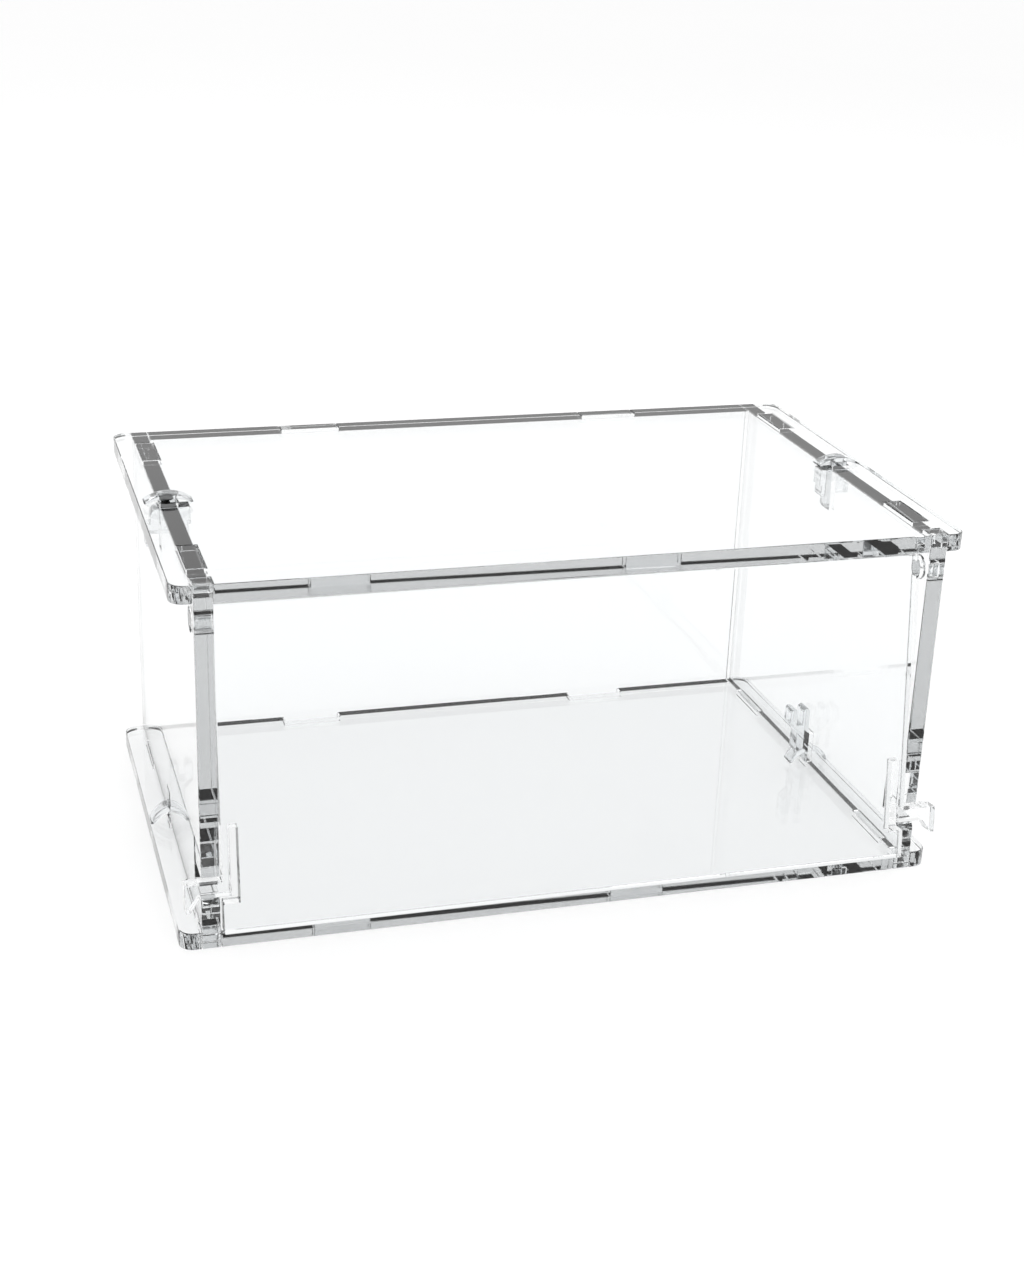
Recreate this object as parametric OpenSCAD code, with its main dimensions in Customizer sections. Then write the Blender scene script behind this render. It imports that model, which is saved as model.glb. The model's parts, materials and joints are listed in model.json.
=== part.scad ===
// Clear box cut from flat sheet: base, two side walls, a back panel, a hinged front door,
// a lift-off lid and four snap clips. Origin: middle of the base's underside, front towards -Y.

/* [Box] */
// Width of the base and lid plates, left to right
box_w = 220; // [170:1:320]
// Depth of the base and lid plates, front to back
box_d = 136; // [124:1:240]
// Height of the walls between the base and the lid
wall_h = 94; // [86:1:160]
// Thickness of the clear sheet
sheet = 5; // [4:0.5:5.5]
// How far the plates reach past the outer faces of the side walls
overhang = 5.9; // [5:0.1:12]
// Corner radius of the plates
corner_r = 4; // [1:0.5:5]

/* [Tabs and slots] */
// Length of the tabs that pass through the plates
tab_len = 18; // [10:1:24]
// Distance of the side walls' tabs from the middle of the depth
side_tab_y = 47; // [30:1:50]
// Distance of the back panel's tabs from the middle of the width
back_tab_x = 49.3; // [20:0.1:65]
// Length of the side walls' tabs at the front edge of the plates
front_tab = 5.5; // [3:0.5:7]
// Clearance on each side of a tab, a clip or a panel in its slot
fit = 0.15; // [0.1:0.05:0.3]

/* [Door] */
// Distance from the walls' front edges back to the door's pivot
pivot_back = 8; // [7:0.5:12]
// Distance from the lid's underside down to the door's pivot
pivot_drop = 7; // [6:0.5:12]
// Height of the door above its pivot
door_rise = 4; // [3:0.5:5]
// Height of the square stubs that turn in the walls
stub_h = 4; // [2:0.5:5]
// Radial clearance of the stubs' corners in their round holes
pivot_fit = 0.1; // [0.02:0.02:0.2]
// Gap between the door's lower edge and the base
door_floor_gap = 0.6; // [0.3:0.1:3]
// Gap between the door's side edges and the walls
door_side_gap = 0.4; // [0.3:0.1:1.5]
// Angle by which the door hangs open
ajar = 7; // [0:0.5:30]

/* [Door catches] */
// Distance from the base up to the top of the catch arms
catch_z = 15.5; // [13:0.5:24]
// Height of the catch arms
catch_h = 4; // [3:0.5:6]
// Reach of the catch arms past the walls' outer faces
catch_reach = 4.7; // [3:0.1:5.5]
// Drop of the catch teeth below their arms
tooth_drop = 4; // [2:0.5:6]
// Width of the tooth's tip
tooth_tip = 1.2; // [0.6:0.1:2]
// Gap between the tooth's root and the wall
tooth_gap = 0.4; // [0.3:0.1:1]
// Free space above and below the arm in the wall's notch
notch_room = 1; // [0.6:0.1:3]
// Free space behind the closed arm in the wall's notch
notch_depth_room = 1.5; // [0.5:0.1:4]
// Height of the notch's narrow upper leg
notch_leg_h = 7; // [3:0.5:12]
// Width of the notch's narrow upper leg
notch_leg_w = 2.4; // [1:0.1:4]
// Radius of the lead-in below the notch
lead_r = 3; // [1:0.5:4]
// Width of the spring finger that carries a catch
finger_w = 2.2; // [1.5:0.1:4]
// Width of the slot beside the finger
finger_slot = 2.3; // [1:0.1:4]
// Length of the finger above its catch
finger_len = 15; // [8:0.5:30]

/* [Lid clips] */
// Depth of the slots for the clips in the walls' top edges
top_lap = 12.5; // [12.3:0.1:20]
// Width of the curved head on the lid
head_w = 13.8; // [9:0.1:15]
// Height of the curved head above the lid
head_h = 2.4; // [1.5:0.1:4]
// Thickness of the head at its middle
head_t = 1.3; // [0.8:0.1:2]
// Reach of the shoulder into the box, from the middle of the wall
shoulder_in = 6; // [4:0.1:9]
// Reach of the shoulder outside the wall, from the middle of the wall
shoulder_out = 5.2; // [4:0.1:6]
// Height of the shoulders
shoulder_h = 5; // [3:0.5:7]
// Depth of the leg under the inner shoulder
leg_h = 3.4; // [2:0.1:5]
// Width of the prong at the clip's end
prong_w = 2.2; // [1.2:0.1:3]
// Length of the prong at the clip's end
prong_l = 3.6; // [2:0.1:3.8]

/* [Base clips] */
// Depth of the slots for the clips in the walls' lower edges
base_lap = 10; // [8:0.5:20]
// Width of the curved spring that presses on the base
spring_w = 16.4; // [12:0.1:16.8]
// Height of the curved spring
spring_h = 5.8; // [4:0.1:7]
// Thickness of the curved spring
spring_t = 2; // [1.2:0.1:3]
// Width of the neck beside the wall
neck_w = 4; // [3:0.1:6]
// Height of the fork's crotch above the base
crotch_z = 13.2; // [11:0.1:20]
// Overall width of the fork
fork_w = 6.6; // [5:0.1:9]
// Width of the gap between the fork's prongs
fork_gap = 1.9; // [1:0.1:3]
// Height of the prongs' ends above the base
fork_top = 18.7; // [16:0.1:26]

/* [Hidden] */
$fn = 48;
over = 1;
clear = [0.86, 0.91, 0.94, 0.45];
edge_clear = [0.72, 0.80, 0.86, 0.6];
total_h = wall_h + 2 * sheet;
lid_z = sheet + wall_h;
front_y = -box_d / 2;
back_y = box_d / 2;
wall_out = box_w / 2 - overhang;
wall_in = wall_out - sheet;
wall_x = wall_out - sheet / 2;
slot_w = sheet + 2 * fit;
pivot_y = front_y + pivot_back;
pivot_z = lid_z - pivot_drop;
pivot_r = sqrt(sheet * sheet + stub_h * stub_h) / 2 + pivot_fit;
door_half = wall_in - door_side_gap;
door_drop = pivot_z - sheet - door_floor_gap;
arm_top = pivot_z - sheet - catch_z;
arm_low = arm_top + catch_h;

// A square given by its left, right, lower and upper limits
module span(x0, x1, y0, y1) {
    translate([x0, y0]) square([x1 - x0, y1 - y0]);
}

// A flat sheet that stands across the box, from an outline of width and height
module standing_xz(y) {
    translate([0, y, 0]) rotate([90, 0, 0]) linear_extrude(sheet, center = true) children();
}

// A flat sheet that stands along the box, from an outline of depth and height
module standing_yz(x) {
    translate([x, 0, 0]) rotate([90, 0, 90]) linear_extrude(sheet, center = true) children();
}

// Outline of a plate with round corners
module plate_outline() {
    span(-box_w / 2 + corner_r, box_w / 2 - corner_r, front_y, back_y);
    span(-box_w / 2, box_w / 2, front_y + corner_r, back_y - corner_r);
    for (x = [-1, 1], y = [-1, 1])
        translate([x * (box_w / 2 - corner_r), y * (box_d / 2 - corner_r)]) circle(corner_r);
}

// A plate with an opening for each tab and clip
module slotted_plate() {
    linear_extrude(sheet) difference() {
        plate_outline();
        for (side = [-1, 1]) {
            translate([side * wall_x, 0]) {
                square([slot_w, slot_w], center = true);
                for (y = [-side_tab_y, side_tab_y])
                    translate([0, y]) square([slot_w, tab_len + 2 * fit], center = true);
                span(-slot_w / 2, slot_w / 2, front_y - over, front_y + front_tab + fit);
            }
            translate([side * back_tab_x, 0])
                span(-tab_len / 2 - fit, tab_len / 2 + fit, back_y - sheet - fit, back_y + over);
        }
    }
}

// Notch in a wall's front edge, in which a catch arm closes, with its narrow upper leg
module catch_notch() {
    low = sheet + catch_z - catch_h - notch_room;
    high = sheet + catch_z + notch_room;
    deep = pivot_y + sheet / 2 + notch_depth_room;
    span(front_y - over, deep, low, high);
    span(deep - notch_leg_w, deep, high - over, high + notch_leg_h);
    difference() {
        span(front_y - over, front_y + lead_r, low - lead_r, low + over);
        translate([front_y + lead_r, low - lead_r]) circle(lead_r);
    }
}

module wall_outline() {
    difference() {
        union() {
            span(front_y, back_y, sheet, lid_z);
            for (y = [-side_tab_y, side_tab_y])
                span(y - tab_len / 2, y + tab_len / 2, 0, total_h);
            span(front_y, front_y + front_tab, 0, total_h);
        }
        translate([pivot_y, pivot_z]) circle(pivot_r);
        span(-slot_w / 2, slot_w / 2, lid_z - top_lap, lid_z + over);
        span(-slot_w / 2, slot_w / 2, sheet - over, sheet + base_lap);
        catch_notch();
    }
}

module back_outline() {
    half = wall_in - fit;
    span(-half, half, sheet, lid_z);
    for (side = [-1, 1])
        translate([side * back_tab_x, 0]) span(-tab_len / 2, tab_len / 2, 0, total_h);
}

// Arched leaf that touches the plate at its two ends: outer arc less inner arc
module arch(w, h, t) {
    half = w / 2;
    inner = half - t / 2;
    outer_r = (half * half + h * h) / (2 * h);
    inner_h = h - t;
    inner_r = (inner * inner + inner_h * inner_h) / (2 * inner_h);
    difference() {
        translate([0, h - outer_r]) circle(outer_r, $fn = 96);
        translate([0, inner_h - inner_r]) circle(inner_r, $fn = 96);
        span(-outer_r - over, outer_r + over, -2 * outer_r - over, 0);
    }
}

// Lid clip, with x towards the inside of the box and y up from the lid's underside
module lid_clip_outline() {
    stem = sheet / 2 - fit;
    leg_in = shoulder_in - 0.7;
    leg_low = shoulder_h + leg_h;
    wall_gap = sheet / 2 + fit;
    translate([0, sheet]) arch(head_w, head_h, head_t);
    span(-stem, stem, -shoulder_h, sheet + head_h - head_t / 2);
    difference() {
        span(-shoulder_out, shoulder_in, -shoulder_h, 0);
        translate([-shoulder_out, 0]) difference() {
            span(-over, shoulder_out - wall_gap, -shoulder_out + wall_gap, over);
            translate([shoulder_out - wall_gap, -shoulder_out + wall_gap]) circle(shoulder_out - wall_gap);
        }
    }
    span(-0.5, leg_in, -leg_low, -shoulder_h + over);
    span(1, 1 + prong_w, -leg_low - prong_l, -leg_low + over);
    span(-shoulder_out - 1.5, -wall_gap, -shoulder_h - 2.4, -shoulder_h + 0.4);
}

// Base clip, with x towards the inside of the box and y up from the base's top
module base_clip_outline() {
    stem = sheet / 2 - fit;
    near = sheet / 2 + fit;
    far = near + fork_w;
    prong = (fork_w - fork_gap) / 2;
    flare = fork_w - neck_w;
    span(-stem, stem, -sheet, base_lap - fit);
    arch(spring_w, spring_h, spring_t);
    difference() {
        union() {
            span(-near, near + neck_w, spring_h - spring_t, base_lap - fit);
            span(near, near + neck_w, spring_h - spring_t, crotch_z);
            polygon([[near, crotch_z - flare], [near + neck_w, crotch_z - flare], [far, crotch_z],
                     [far, fork_top - prong / 2], [near, fork_top - prong / 2]]);
            for (x = [near + prong / 2, far - prong / 2])
                translate([x, fork_top - prong / 2]) circle(prong / 2);
        }
        span(near + prong, far - prong, crotch_z, fork_top);
    }
}

module lid_clip(side) {
    standing_xz(0) translate([side * wall_x, lid_z]) mirror([side > 0 ? 1 : 0, 0]) lid_clip_outline();
}

module base_clip(side) {
    standing_xz(0) translate([side * wall_x, sheet]) mirror([side > 0 ? 1 : 0, 0]) base_clip_outline();
}

// Half of a door's details on one side edge, with y down from the pivot
module catch_arm() {
    root = wall_out + tooth_gap;
    tip = wall_out + catch_reach;
    span(door_half - finger_w, tip, arm_top, arm_low);
    polygon([[root, arm_low - over / 2], [tip, arm_low - over / 2], [tip, arm_low + tooth_drop],
             [tip - tooth_tip, arm_low + tooth_drop]]);
}

module door_outline() {
    finger_x = door_half - finger_w;
    difference() {
        span(-door_half, door_half, -door_rise, door_drop);
        for (side = [-1, 1]) scale([side, 1]) {
            span(finger_x - finger_slot, finger_x, arm_top - finger_len, arm_low + finger_slot);
            span(finger_x - finger_slot, door_half + over, arm_low, arm_low + finger_slot);
        }
    }
    for (side = [0, 1]) mirror([side, 0]) {
        span(door_half - over, wall_out, -stub_h / 2, stub_h / 2);
        catch_arm();
    }
}

module base_plate() {
    color(clear) slotted_plate();
}

module lid_plate() {
    color(clear) translate([0, 0, lid_z]) slotted_plate();
}

module left_wall() {
    color(clear) standing_yz(-wall_x) wall_outline();
}

module right_wall() {
    color(clear) standing_yz(wall_x) wall_outline();
}

module back_panel() {
    color(clear) standing_xz(back_y - sheet / 2) back_outline();
}

module front_door() {
    color(clear) translate([0, pivot_y, pivot_z]) rotate([-ajar, 0, 0]) standing_xz(0) mirror([0, 1]) door_outline();
}

module top_left_clip() {
    color(edge_clear) lid_clip(-1);
}

module top_right_clip() {
    color(edge_clear) lid_clip(1);
}

module bottom_left_clip() {
    color(edge_clear) base_clip(-1);
}

module bottom_right_clip() {
    color(edge_clear) base_clip(1);
}

base_plate();
left_wall();
right_wall();
back_panel();
bottom_left_clip();
bottom_right_clip();
lid_plate();
top_left_clip();
top_right_clip();
front_door();
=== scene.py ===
import json
import math

import bmesh
import bpy
import numpy as np
from mathutils import Matrix, Vector


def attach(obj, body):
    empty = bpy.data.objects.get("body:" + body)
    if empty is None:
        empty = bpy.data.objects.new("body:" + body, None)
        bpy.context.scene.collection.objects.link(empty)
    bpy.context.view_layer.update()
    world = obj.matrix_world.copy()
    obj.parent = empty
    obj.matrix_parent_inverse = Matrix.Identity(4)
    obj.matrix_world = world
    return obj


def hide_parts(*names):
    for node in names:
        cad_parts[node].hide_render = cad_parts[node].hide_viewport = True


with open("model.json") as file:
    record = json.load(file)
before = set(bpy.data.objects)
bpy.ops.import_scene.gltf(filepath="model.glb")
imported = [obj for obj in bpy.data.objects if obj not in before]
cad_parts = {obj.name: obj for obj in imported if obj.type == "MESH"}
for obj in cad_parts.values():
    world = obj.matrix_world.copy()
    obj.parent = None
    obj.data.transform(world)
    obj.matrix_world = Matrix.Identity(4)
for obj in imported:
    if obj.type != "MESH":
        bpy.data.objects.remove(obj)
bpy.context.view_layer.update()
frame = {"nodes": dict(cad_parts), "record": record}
scene = bpy.context.scene

# Camera, matched to the photograph's viewpoint
view = {
    "place": (-0.1643, -0.5368, 0.2822),  # metres
    "elevation": 22.14,  # degrees looked down
    "azimuth": 17.02,  # degrees turned right of +Y
    "roll": 2.11,  # degrees
    "lens": 70.68,  # mm
    "sensorWidth": 36,  # mm
    "nearest": 0.01,  # metres from the lens at which things start to show
}


def makeCamera():
    azimuth, elevation, roll = (math.radians(view[k]) for k in ("azimuth", "elevation", "roll"))
    forward = Vector((math.sin(azimuth) * math.cos(elevation),
                      math.cos(azimuth) * math.cos(elevation),
                      -math.sin(elevation)))
    level = forward.to_track_quat("-Z", "Y").to_matrix()
    data = bpy.data.cameras.new("photoCamera")
    data.sensor_fit = "HORIZONTAL"
    data.sensor_width = view["sensorWidth"]
    data.lens = view["lens"]
    data.clip_start = view["nearest"]
    camera = bpy.data.objects.new("photoCamera", data)
    turned = level @ Matrix.Rotation(roll, 3, "Z")
    camera.matrix_world = Matrix.Translation(view["place"]) @ turned.to_4x4()
    scene.collection.objects.link(camera)
    scene.camera = camera


def newMaterial(name):
    material = bpy.data.materials.new(name)
    material.use_nodes = True
    nodes = material.node_tree.nodes
    shader = nodes["Principled BSDF"]
    return material, nodes, material.node_tree.links, shader


def grey(value):
    return (value, value, value, 1)


# White paper floor
paperFloor = {
    "size": 8.0,  # metres
    "cells": 24,
    "airGap": 0.0006,  # metres of air that stay under the base, as under any flat sheet
    "shade": 0.97,
    "shadeSpread": 0.01,
    "grainScale": 3,
    "roughness": 0.7,
}


# z = minus the air gap on a square grid, x and y running evenly from minus half
# to plus half the floor's size
def makeFloor():
    cells = paperFloor["cells"]
    steps = np.linspace(-paperFloor["size"] / 2, paperFloor["size"] / 2, cells + 1)
    x, y = np.meshgrid(steps, steps, indexing="xy")
    points = np.stack([x.ravel(), y.ravel(), np.full(x.size, -paperFloor["airGap"])], axis=1)
    row, column = np.meshgrid(np.arange(cells), np.arange(cells), indexing="ij")
    first = (row * (cells + 1) + column).ravel()
    faces = np.stack([first, first + 1, first + cells + 2, first + cells + 1], axis=1)
    mesh = bpy.data.meshes.new("studioFloor")
    mesh.from_pydata(points.tolist(), [], faces.tolist())
    material, nodes, links, shader = newMaterial("paperWhite")
    grain = nodes.new("ShaderNodeTexNoise")
    grain.inputs["Scale"].default_value = paperFloor["grainScale"]
    tone = nodes.new("ShaderNodeMapRange")
    tone.inputs["To Min"].default_value = paperFloor["shade"] - paperFloor["shadeSpread"]
    tone.inputs["To Max"].default_value = paperFloor["shade"]
    place = nodes.new("ShaderNodeTexCoord")
    links.new(place.outputs["Object"], grain.inputs["Vector"])
    links.new(grain.outputs["Fac"], tone.inputs["Value"])
    links.new(tone.outputs["Result"], shader.inputs["Base Color"])
    shader.inputs["Roughness"].default_value = paperFloor["roughness"]
    mesh.materials.append(material)
    floor = bpy.data.objects.new("studioFloor", mesh)
    scene.collection.objects.link(floor)


# Dome: white overhead, with soft grey patches low down, which is what the edges of
# clear sheet mirror and bend into view. What the camera sees of it is plain white.
dome = {
    "seen": 1.0,
    "top": 1.04,
    "dark": 0.02,
    "bandLow": 0.05,  # height of direction, 0 at the horizon and 1 overhead: all patches below it
    "bandTop": 0.3,  # and no patches above this one
    "patchScale": 2.2,
    "patchDetail": 1,
    "patchFrom": 0.35,  # noise at which a patch is at its least, and at its most
    "patchTo": 0.65,
    "patchLeast": 0.15,
    "patchMost": 0.95,
}
colourA, colourB, colourOut = 6, 7, 2  # a Mix node's own sockets for colours


def makeDome():
    world = bpy.data.worlds.new("studioDome")
    world.use_nodes = True
    scene.world = world
    nodes, links = world.node_tree.nodes, world.node_tree.links
    background = nodes["Background"]
    place = nodes.new("ShaderNodeTexCoord")
    split = nodes.new("ShaderNodeSeparateXYZ")
    links.new(place.outputs["Generated"], split.inputs["Vector"])
    band = nodes.new("ShaderNodeMapRange")
    band.interpolation_type = "SMOOTHSTEP"
    band.inputs["From Min"].default_value = dome["bandTop"]
    band.inputs["From Max"].default_value = dome["bandLow"]
    links.new(split.outputs["Z"], band.inputs["Value"])
    patches = nodes.new("ShaderNodeTexNoise")
    patches.inputs["Scale"].default_value = dome["patchScale"]
    patches.inputs["Detail"].default_value = dome["patchDetail"]
    links.new(place.outputs["Generated"], patches.inputs["Vector"])
    depth = nodes.new("ShaderNodeMapRange")
    depth.interpolation_type = "SMOOTHSTEP"
    depth.inputs["From Min"].default_value = dome["patchFrom"]
    depth.inputs["From Max"].default_value = dome["patchTo"]
    depth.inputs["To Min"].default_value = dome["patchLeast"]
    depth.inputs["To Max"].default_value = dome["patchMost"]
    links.new(patches.outputs["Fac"], depth.inputs["Value"])
    shade = nodes.new("ShaderNodeMath")
    shade.operation = "MULTIPLY"
    links.new(band.outputs["Result"], shade.inputs[0])
    links.new(depth.outputs["Result"], shade.inputs[1])
    tone = nodes.new("ShaderNodeMix")
    tone.data_type = "RGBA"
    tone.inputs[colourA].default_value = grey(dome["top"])
    tone.inputs[colourB].default_value = grey(dome["dark"])
    links.new(shade.outputs["Value"], tone.inputs["Factor"])
    ray = nodes.new("ShaderNodeLightPath")
    mix = nodes.new("ShaderNodeMix")
    mix.data_type = "RGBA"
    mix.inputs[colourB].default_value = grey(dome["seen"])
    links.new(ray.outputs["Is Camera Ray"], mix.inputs["Factor"])
    links.new(tone.outputs[colourOut], mix.inputs[colourA])
    links.new(mix.outputs[colourOut], background.inputs["Color"])


# Softboxes: places and sizes in metres, power in watts
softboxes = {
    "keySoftbox": {"place": (0.6, 0.5, 1.0), "size": (0.9, 0.6), "power": 2.0},
    "fillSoftbox": {"place": (-0.8, -0.3, 0.9), "size": (0.6, 0.6), "power": 0.7},
}
aimedAt = Vector((0, 0, 0.05))


def makeSoftbox(name, box):
    data = bpy.data.lights.new(name, "AREA")
    data.shape = "RECTANGLE"
    data.size, data.size_y = box["size"]
    data.energy = box["power"]
    lamp = bpy.data.objects.new(name, data)
    lamp.location = box["place"]
    lamp.rotation_euler = (aimedAt - Vector(box["place"])).to_track_quat("-Z", "Y").to_euler()
    scene.collection.objects.link(lamp)


# Clear cast sheet, polished by the cutter's beam
clearSheet = {
    "tint": (0.985, 0.992, 0.995),
    "ior": 1.49,
    "roughness": 0.012,
    "roughSpread": 0.5,  # share by which the roughness rises and falls
    "waviness": 0.02,
    "waveDepth": 0.001,  # metres
    "waveScale": 18.0,
    "waveDetail": 1,
    "shadow": 0.975,  # share of a lamp's light that each face lets through
    "depthTint": (0.25, 0.27, 0.28),  # inside, light fades by (1 - this) x depthDensity per metre
    "depthDensity": 5.5,
    "bevel": 0.00028,  # metres
}

# The clips: the same sheet, darkened as painted shade: a darker tint and a denser inside make
# them a little deeper in tone, standing in for the shade and dark refraction in and under them
clipPaintedShade = {
    **clearSheet,
    # painted shade: a darker tint than the clear sheet
    "tint": (0.95, 0.965, 0.975),
    "roughness": 0.02,
    "waviness": 0.04,
    "waveScale": 60.0,
    "shadow": 0.95,
    # painted shade: a denser inside than the clear sheet, so the clips come out darker
    "depthDensity": 25.0,
    "bevel": 0.0002,
}


# Lamps and bounced light pass straight through the sheet, less a little at each face,
# so that the box throws the pale shadow that clear sheet throws
def letLampsThrough(nodes, links, shader, passed):
    ray = nodes.new("ShaderNodeLightPath")
    either = nodes.new("ShaderNodeMath")
    either.operation = "MAXIMUM"
    links.new(ray.outputs["Is Shadow Ray"], either.inputs[0])
    links.new(ray.outputs["Is Diffuse Ray"], either.inputs[1])
    straight = nodes.new("ShaderNodeBsdfTransparent")
    straight.inputs["Color"].default_value = grey(passed)
    mix = nodes.new("ShaderNodeMixShader")
    links.new(either.outputs["Value"], mix.inputs[0])
    links.new(shader.outputs["BSDF"], mix.inputs[1])
    links.new(straight.outputs["BSDF"], mix.inputs[2])
    links.new(mix.outputs["Shader"], nodes["Material Output"].inputs["Surface"])


# One soft wave pattern moves both the polish and the surface, as on cast sheet
def clearMaterial(name, look):
    material, nodes, links, shader = newMaterial(name)
    shader.inputs["Base Color"].default_value = (*look["tint"], 1)
    shader.inputs["Transmission Weight"].default_value = 1
    shader.inputs["IOR"].default_value = look["ior"]
    place = nodes.new("ShaderNodeTexCoord")
    wave = nodes.new("ShaderNodeTexNoise")
    wave.inputs["Scale"].default_value = look["waveScale"]
    wave.inputs["Detail"].default_value = look["waveDetail"]
    links.new(place.outputs["Object"], wave.inputs["Vector"])
    polish = nodes.new("ShaderNodeMapRange")
    polish.inputs["To Min"].default_value = look["roughness"] * (1 - look["roughSpread"])
    polish.inputs["To Max"].default_value = look["roughness"] * (1 + look["roughSpread"])
    links.new(wave.outputs["Fac"], polish.inputs["Value"])
    links.new(polish.outputs["Result"], shader.inputs["Roughness"])
    bump = nodes.new("ShaderNodeBump")
    bump.inputs["Strength"].default_value = look["waviness"]
    bump.inputs["Distance"].default_value = look["waveDepth"]
    links.new(wave.outputs["Fac"], bump.inputs["Height"])
    links.new(bump.outputs["Normal"], shader.inputs["Normal"])
    letLampsThrough(nodes, links, shader, look["shadow"])
    depth = nodes.new("ShaderNodeVolumeAbsorption")
    depth.inputs["Color"].default_value = (*look["depthTint"], 1)
    depth.inputs["Density"].default_value = look["depthDensity"]
    links.new(depth.outputs["Volume"], nodes["Material Output"].inputs["Volume"])
    return material


# Polishing: what counts as one point, one flat face and a sharp edge
polishing = {
    "onePoint": 0.000002,  # metres
    "oneFace": 0.5,  # degrees
    "sharpEdge": 40,  # degrees
    "bevelSteps": 2,
}


# A copy of a CAD piece with its edges eased, as flame or beam polishing leaves them
def polishedPiece(node, body, material, bevel):
    mesh = frame["nodes"][node].data.copy()
    mesh.name = node + "_polished"
    work = bmesh.new()
    work.from_mesh(mesh)
    bmesh.ops.remove_doubles(work, verts=work.verts, dist=polishing["onePoint"])
    flat = math.radians(polishing["oneFace"])
    bmesh.ops.dissolve_limit(work, angle_limit=flat, verts=work.verts, edges=work.edges)
    bmesh.ops.recalc_face_normals(work, faces=work.faces)
    work.to_mesh(mesh)
    work.free()
    mesh.materials.clear()
    mesh.materials.append(material)
    piece = bpy.data.objects.new(node + "_polished", mesh)
    scene.collection.objects.link(piece)
    eased = piece.modifiers.new("eased edges", "BEVEL")
    eased.width = bevel
    eased.segments = polishing["bevelSteps"]
    eased.limit_method = "ANGLE"
    eased.angle_limit = math.radians(polishing["sharpEdge"])
    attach(piece, body)
    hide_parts(node)


makeCamera()
makeFloor()
makeDome()
for name, box in softboxes.items():
    makeSoftbox(name, box)
scene.view_settings.view_transform = "Standard"
print("studio ready")

lightSteps = 32  # faces that one ray may meet, for the long way through a sheet's edge
for limit in ("max_bounces", "transmission_bounces", "glossy_bounces", "transparent_max_bounces"):
    setattr(scene.cycles, limit, lightSteps)

finishes = {
    "clear_sheet": (clearMaterial("clearCastSheet", clearSheet), clearSheet["bevel"]),
    # the clips get a darker copy of the clear sheet, as painted shade
    "clear_clip": (clearMaterial("clipSheetPaintedShade", clipPaintedShade), clipPaintedShade["bevel"]),
}
slots = {part["node"]: part["material_slot"] for part in frame["record"]["subparts"]}
for body, pieceNames in frame["record"]["behaviour"]["bodies"].items():
    for node in pieceNames:
        material, bevel = finishes[slots[node]]
        polishedPiece(node, body, material, bevel)
        print("polished", node)
